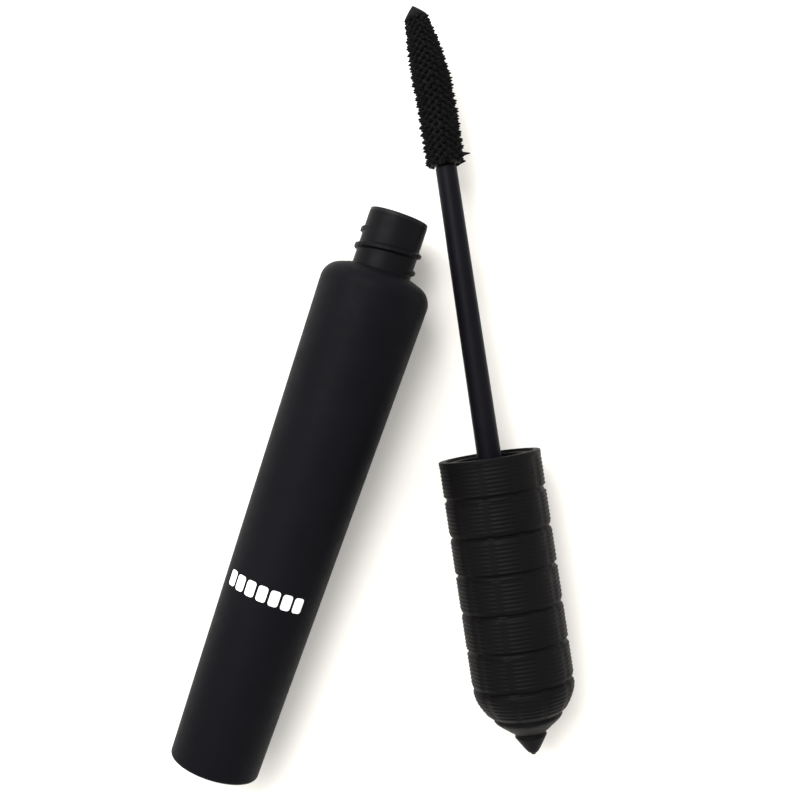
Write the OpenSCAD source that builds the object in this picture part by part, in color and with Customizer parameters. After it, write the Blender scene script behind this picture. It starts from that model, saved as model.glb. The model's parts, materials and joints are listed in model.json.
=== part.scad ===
// Mascara with its wand taken out and laid beside the bottle.
// Bottle pieces are drawn upright from the base plane (z = 0, mouth up) and wand pieces
// upright from the cap's mouth plane (z = 0, brush up); lay_bottle() and lay_wand() put
// them on the table: +Y runs along the bottle to its mouth, +Z is up.

/* [Bottle] */
// Height of the body from base to shoulder
body_h = 84.1; // [65:0.1:105]
// Radius of the body at its base
base_r = 7.3; // [6.5:0.1:8.8]
// Radius of the body just under the shoulder
shoulder_r = 9; // [8.3:0.05:11]
// Radius of the rounded shoulder edge
shoulder_round = 3.2; // [1.5:0.1:3.5]
// Fall of the shoulder from its middle to the rounded edge
shoulder_fall = 0.3; // [0:0.05:0.8]
// Radius of the rounded base edge
base_round = 0.6; // [0.3:0.1:0.8]
// Wall of the outer shell
shell_wall = 1.0; // [0.8:0.05:1.2]
// Wall of the inner vial
vial_wall = 1.0; // [0.8:0.05:1.2]
// Thickness of the plug that closes the shell's base
plug_h = 2.5; // [1.5:0.1:5]
// Radius of the round blank label on the base
label_r = 4.5; // [3:0.1:5.4]
// Thickness of the base label
label_t = 0.1; // [0.08:0.01:0.2]

/* [Neck] */
// Outer radius of the neck
neck_r = 4.85; // [4.4:0.05:5.85]
// Height of the neck above the shoulder, with the wiper's flange on it
neck_h = 9.4; // [8.6:0.1:11]
// Radius of the neck's bore
neck_bore_r = 3.65; // [3.5:0.05:3.8]
// Step from the thread's crest out to the plain collar that stands in the shell's opening
collar_step = 0.1; // [0.05:0.05:0.3]
// Rise of the thread in one turn
thread_pitch = 2.85; // [2.4:0.05:3.2]
// Number of turns of the thread
thread_turns = 1.7; // [1.2:0.1:1.8]
// Height of the thread's ridge
thread_ridge = 0.55; // [0.3:0.05:0.6]
// Width of the thread's ridge where it meets the neck
thread_width = 1.5; // [1:0.05:1.6]

/* [Wiper] */
// Thickness of the wiper's flange on the neck's rim
flange_t = 0.6; // [0.4:0.05:1]
// Wall of the wiper's tube
wiper_wall = 0.5; // [0.4:0.05:0.6]
// Length of the wiper's straight tube in the neck
wiper_tube_h = 9; // [6:0.5:12]
// Length of the wiper's narrowing end
wiper_cone_h = 3.5; // [2.5:0.1:5]

/* [Wand] */
// Radius of the rod at the cap's mouth
rod_root_r = 1.965; // [1.75:0.005:2.4]
// Radius of the rod at the brush
rod_tip_r = 1.72; // [1.6:0.005:1.9]
// Length of the rod between the cap's mouth and the brush
rod_len = 47.3; // [38:0.1:57]
// Radius of the rod's head inside the cap
rod_head_r = 2.6; // [2.5:0.05:3]
// Length of the rod's head inside the cap
rod_head_h = 9; // [6:0.5:11]

/* [Brush] */
// Length of the brush from the rod to its tip
brush_len = 26.1; // [21:0.1:32]
// Radius over the spikes at the thickest stretch
brush_r = 3.25; // [2.7:0.05:3.7]
// Radius over the spikes next to the rod
brush_root_r = 3.05; // [2.5:0.05:3.3]
// Distance that the brush's tip bends to one side
brush_bend = 1.5; // [0:0.1:2]
// Distance between rows of spikes
spike_pitch = 1.2; // [1:0.05:1.5]
// Number of spikes in one row
spikes_round = 12; // [8:1:14]
// Radius of the peg that holds the brush in the rod
peg_r = 0.95; // [0.8:0.05:1]
// Length of the peg
peg_h = 6; // [4:0.5:9]

/* [Cap] */
// Length of the cap from its mouth to its tip
cap_len = 49.0; // [44:0.1:60]
// Radius of the cap at its mouth
cap_mouth_r = 8.3; // [7.8:0.05:10]
// Largest radius of the cap
cap_r = 8.3; // [7.8:0.05:10]
// Length of the pointed nose beyond the widest ring
nose_len = 12.0; // [10:0.1:14]
// Distance between the wide rings' grooves
groove_pitch = 6.17; // [5:0.05:7]
// Depth of the grooves
groove_depth = 0.45; // [0.3:0.05:0.5]
// Width of the grooves at the surface
groove_width = 1.1; // [0.8:0.05:1.3]
// Wall of the cap round the inner cap
cap_wall = 1.15; // [1:0.05:1.2]
// Length of the inner cap
inner_cap_h = 24; // [22:0.5:27]
// Radial wall of the inner cap round its socket
inner_wall = 1.15; // [0.9:0.05:1.3]
// Thickness of the seal ring in the socket
seal_t = 1.0; // [0.8:0.1:1.4]
// Radius of the weight in the cap's nose
weight_r = 5.4; // [4:0.1:5.8]
// Length of the weight
weight_h = 10; // [6:0.5:11]

/* [Layout on the table] */
// Angle in plan between the bottle and the wand
wand_angle = 27.3; // [20:0.1:35]
// Distance from the neck's rim to the point where the two lines cross
cross_ahead = 18.8; // [17:0.05:26]
// Distance of that point up the brush
cross_on_brush = 9.5; // [8:0.1:12]

/* [Fits] */
// Radial clearance between nested pieces of one body
nest_gap = 0.05; // [0.02:0.01:0.1]
// Radial clearance of turning fits
turn_gap = 0.04; // [0.02:0.01:0.08]
// Radial clearance between the closed cap's thread and the neck's
thread_gap = 0.15; // [0.1:0.01:0.25]
// Height of the closed cap's mouth above the shoulder
closed_gap = 0.3; // [0.2:0.05:0.6]

/* [Hidden] */
$fn = 72;
eps = 0.01;
arc_steps = 10;

// Bottle heights
neck_top = body_h + neck_h;
rim_z = neck_top - flange_t;
side_top = body_h - shoulder_fall - shoulder_round;
taper = atan((shoulder_r - base_r) / side_top);
function body_r_at(z) = base_r + (shoulder_r - base_r) * z / side_top;
function shell_in_r(z) = body_r_at(z) - shell_wall;
collar_r = neck_r + thread_ridge + collar_step;
shoulder_sweep = min(70, acos((collar_r + collar_step - shoulder_r + shoulder_round) / shoulder_round));
roof_t = 1.2;
roof_z = body_h - shoulder_fall - roof_t;
vial_gap = 2 * nest_gap;
vial_floor_z = plug_h + vial_gap;
vial_floor_t = 1.2;
vial_top = roof_z - vial_gap;
function vial_r(z) = shell_in_r(z) - vial_gap;
vial_top_round = min(shoulder_round - shell_wall, vial_r(side_top) - collar_r);
function vial_in_r(z) = vial_r(z) - vial_wall;

// Thread on the neck, from the collar upwards
thread_low = body_h + 0.35 + thread_width / 2;
thread_start = -36;
thread_crest = thread_width * 0.35;
thread_steps = 28;
thread_fade = 1 / 8;
thread_root = 0.3;

// Wiper: its narrow end slides along the rod
flange_edge = 0.15;
wiper_hole_r = rod_root_r + turn_gap;
wiper_bore_r = neck_bore_r - nest_gap - wiper_wall;

// Wand heights: the closed cap's mouth stands closed_gap above the shoulder
closed_z = body_h + closed_gap;
seal_z = -(neck_top - closed_z) - nest_gap;
socket_floor = seal_z - seal_t;
socket_r = neck_r + thread_ridge + thread_gap;
widest_s = cap_len - nose_len;
function plain_r(s) = cap_mouth_r + (cap_r - cap_mouth_r) * s / widest_s;
cap_bore_r = min(cap_mouth_r, plain_r(inner_cap_h)) - cap_wall;
inner_cap_r = cap_bore_r - nest_gap;
inner_cap_lip = 0.4;
web_t = 1.6;
boss_r = rod_head_r + turn_gap + 1.0;
rod_end = rod_len - nest_gap;
rod_chamfer = 0.3;
weight_z = -inner_cap_h - 1.0;

// Outline of the cap: distances s run from its mouth towards its tip
nose_shape = [[0, 1], [0.13, 0.98], [0.235, 0.92], [0.375, 0.795], [0.5, 0.655], [0.585, 0.51],
              [0.635, 0.415], [0.66, 0.38], [0.91, 0.16], [0.97, 0.075], [1, 0]];
function grooved(s, r) =
    [[r, s - groove_width / 2], [r - groove_depth, s], [r, s + groove_width / 2]];
groove_count = floor(widest_s / groove_pitch - 0.5);
function cap_outline() = concat(
    [[cap_mouth_r - 0.15, 0], [cap_mouth_r, 0.15]],
    [for (k = [1 : groove_count]) for (p = grooved(k * groove_pitch, plain_r(k * groove_pitch))) p],
    [for (q = nose_shape) [cap_r * q[1], widest_s + nose_len * q[0]]]);

// Brush: radius over the spikes and sideways bend at a share t of its length
brush_taper_start = 0.62;
brush_point_share = 0.13;
brush_point_r = 2.15;
function brush_r_at(t) =
    t < 0.25 ? brush_root_r + (brush_r - brush_root_r) * t / 0.25
    : t < brush_taper_start ? brush_r
    : brush_r + (brush_point_r - brush_r) * (t - brush_taper_start) / (1 - brush_taper_start);
function brush_bend_at(t) = t < 0.3 ? 0 : -brush_bend * pow((t - 0.3) / 0.7, 1.6);
spike_root_share = 0.62;
core_r = 0.8;
core_h = 12;
collar_h = 0.3;

// Points of an arc round (cx, cy)
function arc(cx, cy, r, a0, a1) =
    [for (i = [0 : arc_steps]) let (a = a0 + (a1 - a0) * i / arc_steps) [cx + r * cos(a), cy + r * sin(a)]];

// ---- where the pieces lie -------------------------------------------------

wand_dir = [-sin(wand_angle), cos(wand_angle)];
wand_side = [cos(wand_angle), sin(wand_angle)];
base_height = base_r * cos(taper);
wand_height = max(cap_r, cap_mouth_r);
cross_y = (neck_top + cross_ahead) * cos(taper);
cap_mouth_at = [0, cross_y] - (rod_len + cross_on_brush) * wand_dir;

// Rings of the outline, as [distance from the cap's mouth towards the brush, radius, sideways shift]
wand_rings = concat(
    [for (p = cap_outline()) [-p[1], p[0], 0]],
    [for (i = [0 : 20]) let (t = i / 20 * (1 - brush_point_share))
        [rod_len + t * brush_len, brush_r_at(t), brush_bend_at(t)]],
    [[rod_len + brush_len, 0, brush_bend_at(1)]]);
function ring_at(q, k) = cap_mouth_at[k] + q[0] * wand_dir[k] + q[2] * wand_side[k];
wand_x = concat([for (q = wand_rings) ring_at(q, 0) - q[1] * wand_side[0]],
                [for (q = wand_rings) ring_at(q, 0) + q[1] * wand_side[0]]);
wand_y = [for (q = wand_rings) ring_at(q, 1) + q[1] * wand_side[1]];
low_x = min(min(wand_x), -shoulder_r);
high_x = max(max(wand_x), shoulder_r);
low_y = -label_t * cos(taper) - label_r * sin(taper);
high_y = max(wand_y);
middle = [(low_x + high_x) / 2, (low_y + high_y) / 2];

module lay_bottle()
    translate([-middle[0], -middle[1], base_height])
        rotate([taper - 90, 0, 0])
            children();

module lay_wand()
    translate([cap_mouth_at[0] - middle[0], cap_mouth_at[1] - middle[1], wand_height])
        rotate([0, 0, wand_angle])
            rotate([-90, 0, 0])
                children();

// From the closed bottle's frame to the wand's own frame
module closed_to_wand()
    rotate([180, 0, 0])
        translate([0, 0, -closed_z])
            children();

// ---- bottle ---------------------------------------------------------------

module outer_shell() color("#1b1a1f") lay_bottle() difference() {
    rotate_extrude() polygon(concat(
        [[0, 0]],
        arc(base_r - base_round + base_round * tan(taper), base_round, base_round, -90, 0),
        arc(shoulder_r - shoulder_round, side_top, shoulder_round, 0, shoulder_sweep),
        [[collar_r, body_h], [0, body_h]]));
    rotate_extrude() polygon(concat(
        [[0, -eps], [shell_in_r(0), -eps]],
        arc(shell_in_r(side_top) - vial_top_round, roof_z - vial_top_round, vial_top_round, 0, 80),
        [[0, roof_z]]));
    cylinder(h = body_h + 1, r = collar_r + nest_gap);
}

module base_plug() color("#1b1a1f") lay_bottle()
    rotate_extrude() polygon([
        [0, 0], [shell_in_r(0) - nest_gap - 0.25, 0], [shell_in_r(0) - nest_gap, 0.25],
        [shell_in_r(0) - nest_gap, plug_h], [0, plug_h]]);

module base_label() color("#3a393d") lay_bottle()
    translate([0, 0, -label_t]) cylinder(h = label_t, r = label_r);

module vial() color("#222126") lay_bottle() {
    difference() {
        rotate_extrude() polygon(concat(
            [[0, vial_floor_z], [vial_r(vial_floor_z), vial_floor_z]],
            arc(vial_r(side_top) - vial_top_round, vial_top - vial_top_round, vial_top_round, 0, 80),
            [[collar_r, vial_top], [collar_r, body_h], [neck_r, body_h], [neck_r, rim_z], [0, rim_z]]));
        rotate_extrude() polygon([
            [0, vial_floor_z + vial_floor_t],
            [vial_in_r(vial_floor_z) - 0.6, vial_floor_z + vial_floor_t],
            [vial_in_r(vial_floor_z), vial_floor_z + vial_floor_t + 0.6],
            [vial_in_r(side_top - 3), side_top - 3],
            [neck_bore_r, body_h - roof_t - 0.8],
            [neck_bore_r, rim_z + 1],
            [0, rim_z + 1]]);
    }
    thread_ridge_sweep(neck_r, thread_ridge, 1);
}

// One helical ridge standing out of (way = 1) or into (way = -1) a wall of radius wall_r
module thread_ridge_sweep(wall_r, height, way) {
    n = round(thread_steps * thread_turns);
    sections = [for (i = [0 : n]) let (
        z = thread_low + thread_pitch * i / thread_steps,
        turn = i / thread_steps,
        fade = min(1, turn / thread_fade, (thread_turns - turn) / thread_fade),
        crest = max(0.05, height * fade),
        r0 = wall_r - way * thread_root,
        r1 = wall_r + way * crest)
        [[r0, z - thread_width / 2], [r1, z - thread_crest / 2],
         [r1, z + thread_crest / 2], [r0, z + thread_width / 2]]];
    points = [for (i = [0 : n]) let (a = thread_start + 360 * i / thread_steps) for (p = sections[i])
        [p[0] * cos(a), p[0] * sin(a), p[1]]];
    sides = [for (i = [0 : n - 1]) for (k = [0 : 3]) let (m = (k + 1) % 4)
        [4 * i + k, 4 * i + m, 4 * (i + 1) + m, 4 * (i + 1) + k]];
    faces = concat([for (f = sides) [f[0], f[1], f[2]]], [for (f = sides) [f[0], f[2], f[3]]],
                   [[3, 2, 1], [3, 1, 0]], [[4 * n, 4 * n + 1, 4 * n + 2], [4 * n, 4 * n + 2, 4 * n + 3]]);
    polyhedron(points = points, faces = way > 0 ? faces : [for (f = faces) [f[2], f[1], f[0]]]);
}

module wiper() color("#56555a") lay_bottle() difference() {
    rotate_extrude() polygon([
        [0, rim_z - wiper_tube_h - wiper_cone_h],
        [wiper_hole_r + wiper_wall, rim_z - wiper_tube_h - wiper_cone_h],
        [neck_bore_r - nest_gap, rim_z - wiper_tube_h],
        [neck_bore_r - nest_gap, rim_z],
        [neck_r - nest_gap, rim_z], [neck_r - nest_gap, neck_top - flange_edge],
        [neck_r - nest_gap - flange_edge, neck_top],
        [0, neck_top]]);
    rotate_extrude() polygon([
        [0, rim_z - wiper_tube_h - wiper_cone_h - 1],
        [wiper_hole_r, rim_z - wiper_tube_h - wiper_cone_h - 1],
        [wiper_hole_r, rim_z - wiper_tube_h - wiper_cone_h + 0.4],
        [wiper_bore_r, rim_z - wiper_tube_h],
        [wiper_bore_r, neck_top + 1],
        [0, neck_top + 1]]);
}

// ---- wand -----------------------------------------------------------------

module rod() color("#1c1a22") lay_wand() difference() {
    rotate_extrude() polygon([
        [0, socket_floor - web_t - rod_head_h],
        [rod_head_r - 0.4, socket_floor - web_t - rod_head_h],
        [rod_head_r, socket_floor - web_t - rod_head_h + 0.4],
        [rod_head_r, socket_floor - web_t], [rod_root_r, socket_floor - web_t],
        [rod_root_r, 0],
        [rod_tip_r, rod_end - rod_chamfer], [rod_tip_r - rod_chamfer, rod_end],
        [0, rod_end]]);
    translate([0, 0, rod_end - peg_h - 0.3])
        cylinder(h = peg_h + 1, r = peg_r + turn_gap);
}

module brush_core() color("#17161a") lay_wand() {
    translate([0, 0, rod_end - peg_h])
        cylinder(h = peg_h + nest_gap + collar_h + eps, r = peg_r);
    translate([0, 0, rod_len])
        cylinder(h = collar_h, r = rod_tip_r - rod_chamfer);
    translate([0, 0, rod_len + collar_h - eps])
        cylinder(h = core_h + eps, r = core_r);
}

function share(z) = z / brush_len;
function ring_point(z, r, a) = [brush_bend_at(share(z)) + r * cos(a), r * sin(a), rod_len + z];
function ring_i(i, k) = i * spikes_round + k % spikes_round;

// Grid of rings with a four-sided spike on every cell, closed at both ends
module bristles() color("#141317") lay_wand() difference() {
    start = collar_h;
    grid_len = brush_len * (1 - brush_point_share) - start;
    rows = round(grid_len / spike_pitch);
    step = grid_len / rows;
    rings = [for (i = [0 : rows]) let (z = start + i * step, r = spike_root_share * brush_r_at(share(z)))
        for (k = [0 : spikes_round - 1]) ring_point(z, r, 360 * k / spikes_round)];
    tops = [for (i = [0 : rows - 1]) let (z = start + (i + 0.5) * step)
        for (k = [0 : spikes_round - 1])
            ring_point(z, brush_r_at(share(z)), 360 * (k + 0.5) / spikes_round)];
    closers = [ring_point(start, 0, 0), ring_point(brush_len, 0, 0)];
    first_top = len(rings);
    root_mid = len(rings) + len(tops);
    tip = root_mid + 1;
    spikes = [for (i = [0 : rows - 1]) for (k = [0 : spikes_round - 1]) let (
        a = ring_i(i, k), b = ring_i(i, k + 1), c = ring_i(i + 1, k + 1), d = ring_i(i + 1, k),
        t = first_top + i * spikes_round + k)
        for (f = [[b, a, t], [c, b, t], [d, c, t], [a, d, t]]) f];
    root_cap = [for (k = [0 : spikes_round - 1]) [ring_i(0, k), ring_i(0, k + 1), root_mid]];
    tip_cap = [for (k = [0 : spikes_round - 1]) [ring_i(rows, k + 1), ring_i(rows, k), tip]];
    polyhedron(points = concat(rings, tops, closers), faces = concat(spikes, root_cap, tip_cap));
    translate([0, 0, rod_len])
        cylinder(h = collar_h + core_h + nest_gap, r = core_r + nest_gap);
}

// ---- cap ------------------------------------------------------------------

module inner_cap() color("#1b1a1e") lay_wand() {
    difference() {
        rotate_extrude() polygon([
            [0, -inner_cap_h], [inner_cap_r - 0.3, -inner_cap_h], [inner_cap_r, -inner_cap_h + 0.3],
            [inner_cap_r, -inner_cap_lip], [0, -inner_cap_lip]]);
        translate([0, 0, socket_floor]) cylinder(h = -socket_floor + 1, r = socket_r);
        translate([0, 0, -inner_cap_h - 1]) difference() {
            cylinder(h = inner_cap_h + 1 + socket_floor - web_t, r = inner_cap_r - inner_wall);
            translate([0, 0, -1]) cylinder(h = inner_cap_h + 3, r = boss_r);
        }
        translate([0, 0, -inner_cap_h - 1]) cylinder(h = inner_cap_h + 1, r = rod_root_r + turn_gap);
        translate([0, 0, -inner_cap_h - 1])
            cylinder(h = inner_cap_h + 1 + socket_floor - web_t + turn_gap, r = rod_head_r + turn_gap);
    }
    closed_to_wand() translate([0, 0, thread_pitch / 2])
        thread_ridge_sweep(socket_r, thread_ridge - thread_gap / 2, -1);
}

module seal_ring() color("#8a8888") lay_wand() difference() {
    translate([0, 0, socket_floor]) cylinder(h = seal_t, r = socket_r - nest_gap);
    translate([0, 0, socket_floor - 1]) cylinder(h = seal_t + 2, r = rod_root_r + turn_gap + 0.4);
}

module cap_weight() color("#8b8d90") lay_wand()
    rotate_extrude() polygon([
        [0, weight_z - weight_h], [weight_r - 0.5, weight_z - weight_h],
        [weight_r, weight_z - weight_h + 0.5], [weight_r, weight_z - 0.5],
        [weight_r - 0.5, weight_z], [0, weight_z]]);

module overcap() color("#1a181b") lay_wand() difference() {
    rotate_extrude() polygon(concat([[0, 0]], [for (p = cap_outline()) [p[0], -p[1]]]));
    translate([0, 0, -inner_cap_h - 0.5]) cylinder(h = inner_cap_h + 1.5, r = inner_cap_r + nest_gap);
    translate([0, 0, weight_z - weight_h - 0.2]) cylinder(h = weight_h + 2, r = weight_r + nest_gap);
}

outer_shell();
base_plug();
base_label();
vial();
wiper();
rod();
brush_core();
bristles();
inner_cap();
seal_ring();
cap_weight();
overcap();
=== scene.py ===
import json
import math
import random

import bpy
from mathutils import Euler, Matrix, Vector


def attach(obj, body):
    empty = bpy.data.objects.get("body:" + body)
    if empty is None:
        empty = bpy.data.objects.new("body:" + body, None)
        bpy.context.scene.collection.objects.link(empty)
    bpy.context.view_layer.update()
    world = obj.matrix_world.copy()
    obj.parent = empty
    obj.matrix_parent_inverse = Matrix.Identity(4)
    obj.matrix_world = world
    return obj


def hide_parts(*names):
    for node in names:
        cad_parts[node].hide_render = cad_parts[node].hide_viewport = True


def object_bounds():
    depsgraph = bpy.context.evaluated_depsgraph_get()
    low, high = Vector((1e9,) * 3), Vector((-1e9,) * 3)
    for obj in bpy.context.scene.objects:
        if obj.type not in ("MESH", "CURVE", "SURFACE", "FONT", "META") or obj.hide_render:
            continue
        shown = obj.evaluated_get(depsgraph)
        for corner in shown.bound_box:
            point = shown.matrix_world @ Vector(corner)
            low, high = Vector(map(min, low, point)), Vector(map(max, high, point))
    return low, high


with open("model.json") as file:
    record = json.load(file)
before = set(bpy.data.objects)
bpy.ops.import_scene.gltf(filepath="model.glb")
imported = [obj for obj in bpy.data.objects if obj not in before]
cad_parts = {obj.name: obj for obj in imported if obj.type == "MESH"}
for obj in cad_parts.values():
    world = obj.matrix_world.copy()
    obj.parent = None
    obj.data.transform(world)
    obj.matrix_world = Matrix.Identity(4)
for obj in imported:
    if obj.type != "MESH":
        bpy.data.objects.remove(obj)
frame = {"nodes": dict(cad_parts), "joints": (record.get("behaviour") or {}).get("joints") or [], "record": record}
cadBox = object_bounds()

mm = 0.001
record = frame["record"]
mounts = {m["name"]: m for m in record["mounts"]}
joints = {j["name"]: j for j in frame["joints"]}


def axisFrame(origin, along, side):
    z = Vector(along).normalized()
    x = (Vector(side) - z * z.dot(Vector(side))).normalized()
    y = z.cross(x)
    turn = Matrix((x, y, z)).transposed().to_4x4()
    return Matrix.Translation(Vector(origin)) @ turn


up = Vector((0, 0, 1))
labelThick = 0.1                                     # mm, the label stands this far below the base
baseMount = mounts["base"]
bottleUp = -Vector(baseMount["axis"])
bottleBase = Vector(baseMount["pos_m"]) + bottleUp * labelThick * mm
bottleFrame = axisFrame(bottleBase, bottleUp, (1, 0, 0))   # z up the bottle, y towards the floor
twist = joints["cap_twist"]
wandUp = Vector(twist["axis"])
wandFrame = axisFrame(twist["pos_m"], wandUp, wandUp.cross(up))  # z from the cap's mouth to the brush
print("places read from the frame")


def meshPiece(name, verts, faces, smooth=True):
    mesh = bpy.data.meshes.new(name)
    mesh.from_pydata([tuple(v) for v in verts], [], faces)
    mesh.validate()
    mesh.update()
    piece = bpy.data.objects.new(name, mesh)
    bpy.context.scene.collection.objects.link(piece)
    for poly in mesh.polygons:
        poly.use_smooth = smooth
    return piece


def smoothByAngle(piece, degrees):
    piece.data.set_sharp_from_angle(angle=math.radians(degrees))


# a skin over rings of points, closed at its first and last ring
def closedSkin(rings):
    verts, faces = [], []
    n = len(rings[0])
    for ring in rings:
        verts.extend(ring)
    for i in range(len(rings) - 1):
        for k in range(n):
            a, b = i * n + k, i * n + (k + 1) % n
            faces.append((a, b, b + n, a + n))
    for ring, last in ((0, False), (len(rings) - 1, True)):
        hub = len(verts)
        verts.append(sum((verts[ring * n + k] for k in range(n)), Vector()) / n)
        for k in range(n):
            a, b = ring * n + k, ring * n + (k + 1) % n
            faces.append((a, b, hub) if last else (b, a, hub))
    return verts, faces


def curveThrough(points, x):
    for (x0, y0), (x1, y1) in zip(points, points[1:]):
        if x <= x1:
            return y0 + (y1 - y0) * (x - x0) / (x1 - x0)
    return points[-1][1]


def between01(x):
    return min(1.0, max(0.0, x))


def newMaterial(name, colour, roughness):
    material = bpy.data.materials.new(name)
    material.use_nodes = True
    nodes, links = material.node_tree.nodes, material.node_tree.links
    shader = nodes["Principled BSDF"]
    shader.inputs["Base Color"].default_value = (*colour, 1)
    shader.inputs["Roughness"].default_value = roughness
    coords = nodes.new("ShaderNodeTexCoord")
    return material, nodes, links, shader, coords.outputs["Object"]


def noiseNode(nodes, links, vector, scale, detail, rough, stretch=(1, 1, 1)):
    if stretch != (1, 1, 1):
        mapping = nodes.new("ShaderNodeMapping")
        mapping.inputs["Scale"].default_value = stretch
        links.new(vector, mapping.inputs["Vector"])
        vector = mapping.outputs["Vector"]
    noise = nodes.new("ShaderNodeTexNoise")
    noise.inputs["Scale"].default_value = scale
    noise.inputs["Detail"].default_value = detail
    noise.inputs["Roughness"].default_value = rough
    links.new(vector, noise.inputs["Vector"])
    return noise.outputs["Fac"]


def rampNode(nodes, links, fac, darkStop, lightStop):
    ramp = nodes.new("ShaderNodeValToRGB")
    for element, (position, colour) in zip(ramp.color_ramp.elements, (darkStop, lightStop)):
        element.position = position
        element.color = (*colour, 1)
    links.new(fac, ramp.inputs["Fac"])
    return ramp.outputs["Color"]


def rangeNode(nodes, links, fac, low, high, fromLow, fromHigh):
    spread = nodes.new("ShaderNodeMapRange")
    for key, value in (("From Min", fromLow), ("From Max", fromHigh), ("To Min", low), ("To Max", high)):
        spread.inputs[key].default_value = value
    links.new(fac, spread.inputs["Value"])
    return spread.outputs["Result"]


def bumpNode(nodes, links, height, strength, distance):
    bump = nodes.new("ShaderNodeBump")
    bump.inputs["Strength"].default_value = strength
    bump.inputs["Distance"].default_value = distance
    links.new(height, bump.inputs["Height"])
    return bump.outputs["Normal"]


# cloud, rub and grain are noise scales from coarse to fine, and grainDepth is in metres
softTouch = {
    "dark": (0.003, 0.0028, 0.0042), "light": (0.0046, 0.0043, 0.006), "roughness": (0.5, 0.62),
    "gloss": 0.05, "cloud": 55, "darkAt": 0.3, "lightAt": 0.75, "rub": 385,
    "grain": 5200, "grainStrength": 0.35, "grainDepth": 0.00002,
}
noiseMiddle = (0.3, 0.7)                             # the part of a noise's range that carries its pattern


def softTouchLacquer(name):
    v = softTouch
    material, nodes, links, shader, at = newMaterial(name, v["dark"], v["roughness"][0])
    cloud = noiseNode(nodes, links, at, v["cloud"], detail=5, rough=0.6)
    colour = rampNode(nodes, links, cloud, (v["darkAt"], v["dark"]), (v["lightAt"], v["light"]))
    links.new(colour, shader.inputs["Base Color"])
    rub = noiseNode(nodes, links, at, v["rub"], detail=4, rough=0.7)
    links.new(rangeNode(nodes, links, rub, *v["roughness"], *noiseMiddle), shader.inputs["Roughness"])
    grain = noiseNode(nodes, links, at, v["grain"], detail=2, rough=0.5)
    relief = bumpNode(nodes, links, grain, v["grainStrength"], v["grainDepth"])
    links.new(relief, shader.inputs["Normal"])
    shader.inputs["Specular IOR Level"].default_value = v["gloss"]
    return material


moulding = {"cloud": 90, "darkAt": 0.35, "lightAt": 0.8, "lighter": 1.5, "wear": 420, "grainStrength": 0.3}


def mouldedPlastic(name, colour, roughness, grain, grainDepth, gloss, streak=(1, 1, 1)):
    v = moulding
    material, nodes, links, shader, at = newMaterial(name, colour, roughness[0])
    lighter = tuple(c * v["lighter"] for c in colour)
    cloud = noiseNode(nodes, links, at, v["cloud"], detail=4, rough=0.55, stretch=streak)
    mottle = rampNode(nodes, links, cloud, (v["darkAt"], colour), (v["lightAt"], lighter))
    links.new(mottle, shader.inputs["Base Color"])
    wear = noiseNode(nodes, links, at, v["wear"], detail=4, rough=0.65, stretch=streak)
    links.new(rangeNode(nodes, links, wear, *roughness, *noiseMiddle), shader.inputs["Roughness"])
    grit = noiseNode(nodes, links, at, grain, detail=2, rough=0.5)
    links.new(bumpNode(nodes, links, grit, v["grainStrength"], grainDepth), shader.inputs["Normal"])
    shader.inputs["Specular IOR Level"].default_value = gloss
    return material


materials = {
    "shell": softTouchLacquer("softTouchLacquer"),
    "cap": mouldedPlastic("ribbedCapRubber", colour=(0.003, 0.0026, 0.003), roughness=(0.46, 0.6),
                          grain=3000, grainDepth=0.00002, gloss=0.06),
    "vial": mouldedPlastic("vialPlastic", colour=(0.003, 0.0029, 0.0036), roughness=(0.42, 0.55),
                           grain=3400, grainDepth=0.000012, gloss=0.06),
    "wiper": mouldedPlastic("wiperPlastic", colour=(0.0045, 0.0043, 0.005), roughness=(0.4, 0.52),
                            grain=2600, grainDepth=0.00001, gloss=0.12),
    "rod": mouldedPlastic("rodPlastic", colour=(0.0034, 0.003, 0.0046), roughness=(0.34, 0.46),
                          grain=3800, grainDepth=0.000008, gloss=0.055, streak=(1, 1, 0.25)),
    "brush": mouldedPlastic("brushElastomer", colour=(0.0026, 0.0024, 0.0026), roughness=(0.5, 0.65),
                            grain=5200, grainDepth=0.00002, gloss=0.06),
    "label": mouldedPlastic("labelFilm", colour=(0.011, 0.011, 0.0125), roughness=(0.38, 0.5),
                            grain=2200, grainDepth=0.000012, gloss=0.15),
    "seal": mouldedPlastic("sealFoam", colour=(0.42, 0.42, 0.4), roughness=(0.75, 0.9),
                           grain=1800, grainDepth=0.00008, gloss=0.2),
    "steel": mouldedPlastic("weightSteel", colour=(0.42, 0.42, 0.43), roughness=(0.28, 0.4),
                            grain=2600, grainDepth=0.00001, gloss=0.5, streak=(1, 1, 12)),
    "ink": mouldedPlastic("whiteInk", colour=(0.86, 0.86, 0.85), roughness=(0.45, 0.6),
                          grain=4200, grainDepth=0.00001, gloss=0.4),
}
materials["steel"].node_tree.nodes["Principled BSDF"].inputs["Metallic"].default_value = 1.0

nodeFinish = {"outer_shell": "shell", "base_plug": "shell", "base_label": "label", "vial": "vial",
              "wiper": "wiper", "rod": "rod", "brush_core": "brush", "bristles": "brush",
              "inner_cap": "vial", "seal_ring": "seal", "cap_weight": "steel", "overcap": "cap"}
for nodeName, finish in nodeFinish.items():
    cadNode = frame["nodes"][nodeName]
    cadNode.data.materials.clear()
    cadNode.data.materials.append(materials[finish])
print("materials on the cad nodes")


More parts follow.
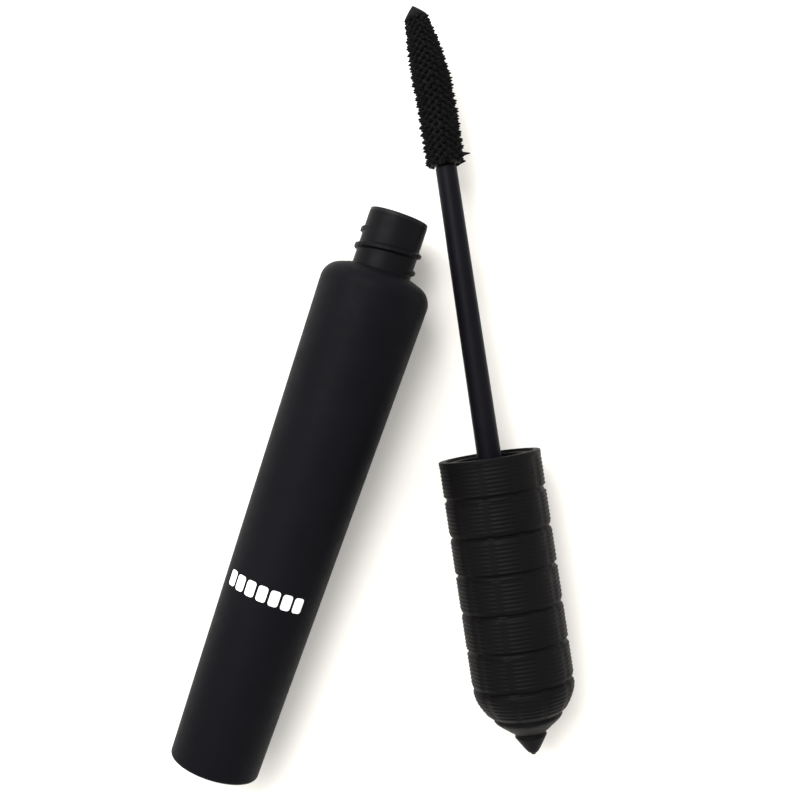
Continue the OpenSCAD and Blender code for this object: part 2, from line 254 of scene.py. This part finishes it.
# millimetres from the cap's mouth towards its nose; channelHalf, channelEdge and crease are degrees
cap = {
    "length": 49.0, "mouthR": 8.3, "widestR": 8.3, "noseLength": 12.0,
    "lip": 0.15, "boreR": 7.15, "boreDepth": 24.5, "boreChamfer": 0.12,
    "weightBoreR": 5.45, "weightBoreDepth": 35.2, "hubR": 0.6, "edgeIn": 0.04, "edgeDown": 0.05,
    "groovePitch": 6.17, "grooveCount": 6, "noseGrooves": (42.2, 45.3),
    "grooveDepth": 0.45, "grooveHalf": 0.6, "leastR": 0.02,
    "ribPitch": 0.65, "ribDepth": 0.11, "ribSharp": 1.6, "ribSamples": 6,
    "ribsFrom": 0.5, "ribsRise": 0.6, "ribFade": (41.0, 45.0),
    "columns": 10, "channelHalf": 3.2, "channelEdge": 2.0, "channelDepth": 0.12,
    "tipStart": 0.1, "tipRings": ((0.35, 0.06), (0.12, 0.01)), "around": 180, "crease": 40,
}
# share of the nose's length, share of the cap's widest radius
noseShape = [(0, 1), (0.06, 0.997), (0.13, 0.98), (0.185, 0.953), (0.235, 0.92), (0.305, 0.862),
             (0.375, 0.795), (0.44, 0.727), (0.5, 0.655), (0.545, 0.585), (0.585, 0.51), (0.615, 0.45),
             (0.64, 0.41), (0.665, 0.382), (0.78, 0.275), (0.91, 0.155), (0.955, 0.105), (0.985, 0.045),
             (1, 0.0)]


def capPlainR(s):
    widest = cap["length"] - cap["noseLength"]
    if s <= widest:
        return cap["mouthR"] + (cap["widestR"] - cap["mouthR"]) * s / widest
    return cap["widestR"] * curveThrough(noseShape, (s - widest) / cap["noseLength"])


def capGroove(s):
    grooves = [k * cap["groovePitch"] for k in range(1, cap["grooveCount"] + 1)] + list(cap["noseGrooves"])
    near = min(abs(s - groove) for groove in grooves)
    return cap["grooveDepth"] * max(0.0, 1 - near / cap["grooveHalf"])


# fine cross ribs in columns, with a plain channel between each two columns
def capRib(s, degrees):
    step = 360 / cap["columns"]
    edge = step / 2 - abs((degrees % step) - step / 2)   # angle from the nearest channel's middle
    column = between01((edge - cap["channelHalf"]) / cap["channelEdge"])
    fadeFrom, fadeTo = cap["ribFade"]
    nose = max(0.0, (fadeTo - s) / (fadeTo - fadeFrom))
    mouth = max(0.0, (s - cap["ribsFrom"]) / cap["ribsRise"])
    wave = (0.5 + 0.5 * math.cos(2 * math.pi * s / cap["ribPitch"])) ** cap["ribSharp"]
    return min(1.0, nose, mouth) * (cap["ribDepth"] * wave * column + cap["channelDepth"] * (1 - column))


def capOuterR(s, degrees):
    return max(cap["leastR"], capPlainR(s) - capGroove(s) - capRib(s, degrees))


def capPoint(r, degrees, s):
    a = math.radians(degrees)
    return wandFrame @ (Vector((r * math.cos(a), r * math.sin(a), -s)) * mm)


def buildCap():
    angles = [360 * k / cap["around"] for k in range(cap["around"])]
    step = cap["ribPitch"] / cap["ribSamples"]
    count = int((cap["length"] - cap["tipStart"] - cap["lip"]) / step) + 1

    def plainRing(r, s):
        return [capPoint(r, a, s) for a in angles]

    # from the hub of the weight's bore out over the mouth, then down the ribbed outside to the tip
    inside = [(cap["hubR"], cap["weightBoreDepth"]), (cap["weightBoreR"], cap["weightBoreDepth"]),
              (cap["weightBoreR"], cap["boreDepth"]), (cap["boreR"], cap["boreDepth"]),
              (cap["boreR"], cap["lip"]), (cap["boreR"] + cap["boreChamfer"], 0.0),
              (cap["mouthR"] - cap["lip"], 0.0), (cap["mouthR"] - cap["edgeIn"], cap["edgeDown"])]
    rings = [plainRing(r, s) for r, s in inside]
    for i in range(count):
        s = cap["lip"] + step * i
        rings.append([capPoint(capOuterR(s, a), a, s) for a in angles])
    rings += [plainRing(r, cap["length"] - short) for r, short in cap["tipRings"]]
    verts, faces = closedSkin(rings)
    piece = meshPiece("ribbedCap", verts, faces)
    smoothByAngle(piece, cap["crease"])
    piece.data.materials.append(materials["cap"])
    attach(piece, "cap")
    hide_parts("overcap")


buildCap()
print("ribbed cap built")


# millimetres along the wand; files are the lines of spikes along the brush
brush = {
    "rodLength": 47.3, "length": 26.1, "collar": 0.12, "bend": 1.5, "bendFrom": 0.3, "bendCurve": 1.6,
    "bodyShare": 0.76, "bodySteps": 48, "bodyFrom": 0.2, "ripple": 0.03, "around": 40,
    "pointLength": 2.3, "pointR": 1.85, "pastBody": 0.5,
    "files": 20, "rowPitch": 1.2, "jitter": 0.08, "seed": 7, "crease": 50,
}
# share of the brush's length, radius over the spikes
brushOutline = [(0, 3.35), (0.2, 3.45), (0.55, 3.4), (0.65, 3.2), (0.75, 2.9), (0.84, 2.5), (0.92, 2.15),
                (1, 1.8)]
collarShape = ((0.0, 0.55), (0.05, 0.9))             # distance from the collar, share of the body's radius
# share of the point's length, share of its radius
pointShape = ((0.1, 1.0), (0.2, 0.97), (0.5, 0.66), (0.75, 0.36), (0.92, 0.13), (0.985, 0.04))
spike = {"r": 0.44, "sides": 6, "sunk": 0.15, "reach": (0.96, 1.02),
         "leanAlong": (-0.12, 0.1), "leanAcross": (-0.08, 0.08),
         "shape": ((0, 1.15), (0.45, 0.7), (0.85, 0.3))}     # share of its length, share of its radius
straySpike = {"z": 1.5, "angle": 0.1, "extra": 1.0}   # one long spike that stands out beside the rod


def brushCentre(z):
    t = z / brush["length"]
    sway = 0 if t < brush["bendFrom"] else (t - brush["bendFrom"]) / (1 - brush["bendFrom"])
    return Vector((-brush["bend"] * sway ** brush["bendCurve"], 0, brush["rodLength"] + z))


def brushR(z):
    return curveThrough(brushOutline, z / brush["length"])


def brushAxes(z):
    reach = 0.2
    along = (brushCentre(z + reach) - brushCentre(z - reach)).normalized()
    x = Vector((0, 1, 0)).cross(along).normalized()
    return x, along.cross(x), along


def brushBody(bodyEnd):
    bodyStart = brush["collar"] + brush["bodyFrom"]
    levels = [(brush["collar"] + past, share) for past, share in collarShape]
    levels += [(bodyStart + (bodyEnd - brush["collar"] - brush["bodyFrom"]) * i / brush["bodySteps"], 1.0)
               for i in range(brush["bodySteps"] + 1)]
    sizes = [(z, brushR(z) * brush["bodyShare"] * share) for z, share in levels]
    sizes += [(bodyEnd + brush["pointLength"] * t, brush["pointR"] * share) for t, share in pointShape]
    rings = []
    for z, ringR in sizes:
        x, y, along = brushAxes(z)
        ring = []
        for k in range(brush["around"]):
            a = 2 * math.pi * k / brush["around"]
            r = ringR * (1 + brush["ripple"] * math.cos(brush["files"] * a))
            ring.append(brushCentre(z) + (x * math.cos(a) + y * math.sin(a)) * r)
        rings.append(ring)
    return closedSkin(rings)


def addSpike(verts, faces, z, a, rng, extra=0.0):
    x, y, along = brushAxes(z)
    out = x * math.cos(a) + y * math.sin(a)
    across = along.cross(out)
    foot = brushR(z) * brush["bodyShare"] - spike["sunk"]
    reach = brushR(z) * rng.uniform(*spike["reach"]) + extra
    lean = along * rng.uniform(*spike["leanAlong"]) + across * rng.uniform(*spike["leanAcross"])
    sides = spike["sides"]
    start = len(verts)
    for share, width in spike["shape"]:
        middle = brushCentre(z) + out * (foot + (reach - foot) * share) + lean * share
        for k in range(sides):
            c = 2 * math.pi * k / sides
            verts.append(middle + (across * math.cos(c) + along * math.sin(c)) * spike["r"] * width)
    verts.append(brushCentre(z) + out * reach + lean)
    verts.append(brushCentre(z) + out * foot)
    topRing = start + (len(spike["shape"]) - 1) * sides
    tip = topRing + sides
    heel = tip + 1
    for ring in range(len(spike["shape"]) - 1):
        for k in range(sides):
            p, q = start + ring * sides + k, start + ring * sides + (k + 1) % sides
            faces.append((q, p, p + sides, q + sides))
    for k in range(sides):
        faces.append((topRing + (k + 1) % sides, topRing + k, tip))
        faces.append((start + k, start + (k + 1) % sides, heel))


def buildBrush():
    rng = random.Random(brush["seed"])
    bodyEnd = brush["length"] - brush["pointLength"]
    verts, faces = brushBody(bodyEnd)
    jitter = brush["jitter"]
    rows = int((bodyEnd - brush["collar"]) / brush["rowPitch"])
    for row in range(rows + 1):
        for line in range(brush["files"]):
            z = brush["collar"] + brush["bodyFrom"] + row * brush["rowPitch"] + rng.uniform(-jitter, jitter)
            z += 0.5 * brush["rowPitch"] * (line % 2)     # every other file is half a row further on
            if z > bodyEnd + brush["pastBody"]:
                continue
            a = 2 * math.pi * (line + rng.uniform(-jitter, jitter)) / brush["files"]
            addSpike(verts, faces, z, a, rng)
    addSpike(verts, faces, straySpike["z"], straySpike["angle"], rng, straySpike["extra"])
    piece = meshPiece("brushBristles", [wandFrame @ (v * mm) for v in verts], faces)
    smoothByAngle(piece, brush["crease"])
    piece.data.materials.append(materials["brush"])
    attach(piece, "cap")
    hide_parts("bristles")


buildBrush()
print("brush built")


# millimetres, with from, to, tilt and crease in degrees
mark = {
    "height": 30.5, "blocks": 7, "from": -61.0, "to": 43.0, "tall": 2.5, "fill": 0.78, "tilt": 3.0,
    "proud": 0.03, "sunk": 0.02, "corner": 0.45, "cornerSteps": 4, "innerRings": (1.0, 0.66, 0.33),
    "baseR": 7.3, "shoulderR": 9.0, "sideTop": 80.6, "crease": 30,
}


def shellR(z):
    return mark["baseR"] + (mark["shoulderR"] - mark["baseR"]) * z / mark["sideTop"]


def blockOutline(wide):
    corner, steps = mark["corner"], mark["cornerSteps"]
    outline = []
    for cx, cz, a0 in ((1, 1, 0), (-1, 1, 90), (-1, -1, 180), (1, -1, 270)):
        for step in range(steps + 1):
            a = math.radians(a0 + 90 * step / steps)
            outline.append((cx * (wide / 2 - corner) + corner * math.cos(a),
                            cz * (mark["tall"] / 2 - corner) + corner * math.sin(a)))
    return outline


# one face of a block: its outline, two smaller rings and a middle point, laid on the round shell
def blockFace(outline, middle, lift, proud, arcR):
    flat = [(u * scale, w * scale) for scale in mark["innerRings"] for u, w in outline] + [(0, 0)]
    points = []
    for u, w in flat:
        z = mark["height"] + lift + w
        r = shellR(z) + proud
        a = middle + u / arcR
        points.append(Vector((r * math.sin(a), -r * math.cos(a), z)))
    return points


def addBlock(verts, faces, outline, middle, lift, arcR):
    start = len(verts)
    for proud in (-mark["sunk"], mark["proud"]):
        verts.extend(blockFace(outline, middle, lift, proud, arcR))
    n = len(outline)
    inner = len(mark["innerRings"]) - 1
    layer = (inner + 1) * n + 1
    for side, flip in ((start, True), (start + layer, False)):
        for ring in range(inner):
            for k in range(n):
                a, b = side + ring * n + k, side + ring * n + (k + 1) % n
                quad = (a, b, b + n, a + n)
                faces.append(quad[::-1] if flip else quad)
        for k in range(n):
            tri = (side + inner * n + k, side + inner * n + (k + 1) % n, side + layer - 1)
            faces.append(tri[::-1] if flip else tri)
    for k in range(n):
        a, b = start + k, start + (k + 1) % n
        faces.append((a, b, b + layer, a + layer))


def buildMark():
    verts, faces = [], []
    pitch = (mark["to"] - mark["from"]) / mark["blocks"]
    arcR = shellR(mark["height"])
    outline = blockOutline(math.radians(pitch) * arcR * mark["fill"])
    for i in range(mark["blocks"]):
        middle = math.radians(mark["from"] + pitch * (i + 0.5))
        lift = -math.tan(math.radians(mark["tilt"])) * arcR * middle
        addBlock(verts, faces, outline, middle, lift, arcR)
    piece = meshPiece("printedBlocks", [bottleFrame @ (v * mm) for v in verts], faces)
    smoothByAngle(piece, mark["crease"])
    piece.data.materials.append(materials["ink"])
    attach(piece, "bottle")


buildMark()
print("printed mark built")


# metres and degrees: aside is from the middle of the cad model's box, above is from its underside
view = {"above": 0.1926, "aside": (-0.016045, 0.00267), "turn": (-0.4824, -1.3205, 18.7434), "lens": 51.439,
        "sensor": 36, "clipStart": 0.01}
ground = {"colour": (0.94, 0.915, 0.87), "roughness": 0.6, "gloss": 0.2, "half": 1.5, "below": 0.00005}
light = {"skyColour": (1, 0.995, 0.985, 1), "sky": 0.95, "keySize": 0.55, "keyPower": 8.0,
         "keyAt": (-0.4, 0.25, 0.62)}


def buildCamera():
    low, high = cadBox
    middle = (Vector(low) + Vector(high)) / 2
    data = bpy.data.cameras.new("camera")
    data.sensor_width = view["sensor"]
    data.lens = view["lens"]
    data.clip_start = view["clipStart"]
    camera = bpy.data.objects.new("camera", data)
    camera.location = (middle.x + view["aside"][0], middle.y + view["aside"][1], low[2] + view["above"])
    camera.rotation_euler = Euler([math.radians(a) for a in view["turn"]], "XYZ")
    bpy.context.scene.collection.objects.link(camera)
    bpy.context.scene.camera = camera


def buildFloor():
    half = ground["half"]
    z = cadBox[0][2] - ground["below"]
    verts = [Vector((x * half, y * half, z)) for x, y in ((-1, -1), (1, -1), (1, 1), (-1, 1))]
    floor = meshPiece("floor", verts, [(0, 1, 2, 3)], smooth=False)
    material, nodes, links, shader, at = newMaterial("paleFloor", ground["colour"], ground["roughness"])
    shader.inputs["Specular IOR Level"].default_value = ground["gloss"]
    floor.data.materials.append(material)


def buildLight():
    world = bpy.data.worlds.new("softRoom")
    bpy.context.scene.world = world
    world.use_nodes = True
    background = world.node_tree.nodes["Background"]
    background.inputs["Color"].default_value = light["skyColour"]
    background.inputs["Strength"].default_value = light["sky"]
    data = bpy.data.lights.new("window", "AREA")
    data.shape = "SQUARE"
    data.size = light["keySize"]
    data.energy = light["keyPower"]
    lamp = bpy.data.objects.new("window", data)
    lamp.location = light["keyAt"]
    lamp.rotation_euler = (-Vector(light["keyAt"])).to_track_quat("-Z", "Y").to_euler()
    bpy.context.scene.collection.objects.link(lamp)
    bpy.context.scene.view_settings.view_transform = "Standard"


buildCamera()
buildFloor()
buildLight()
print("camera, floor and light placed")
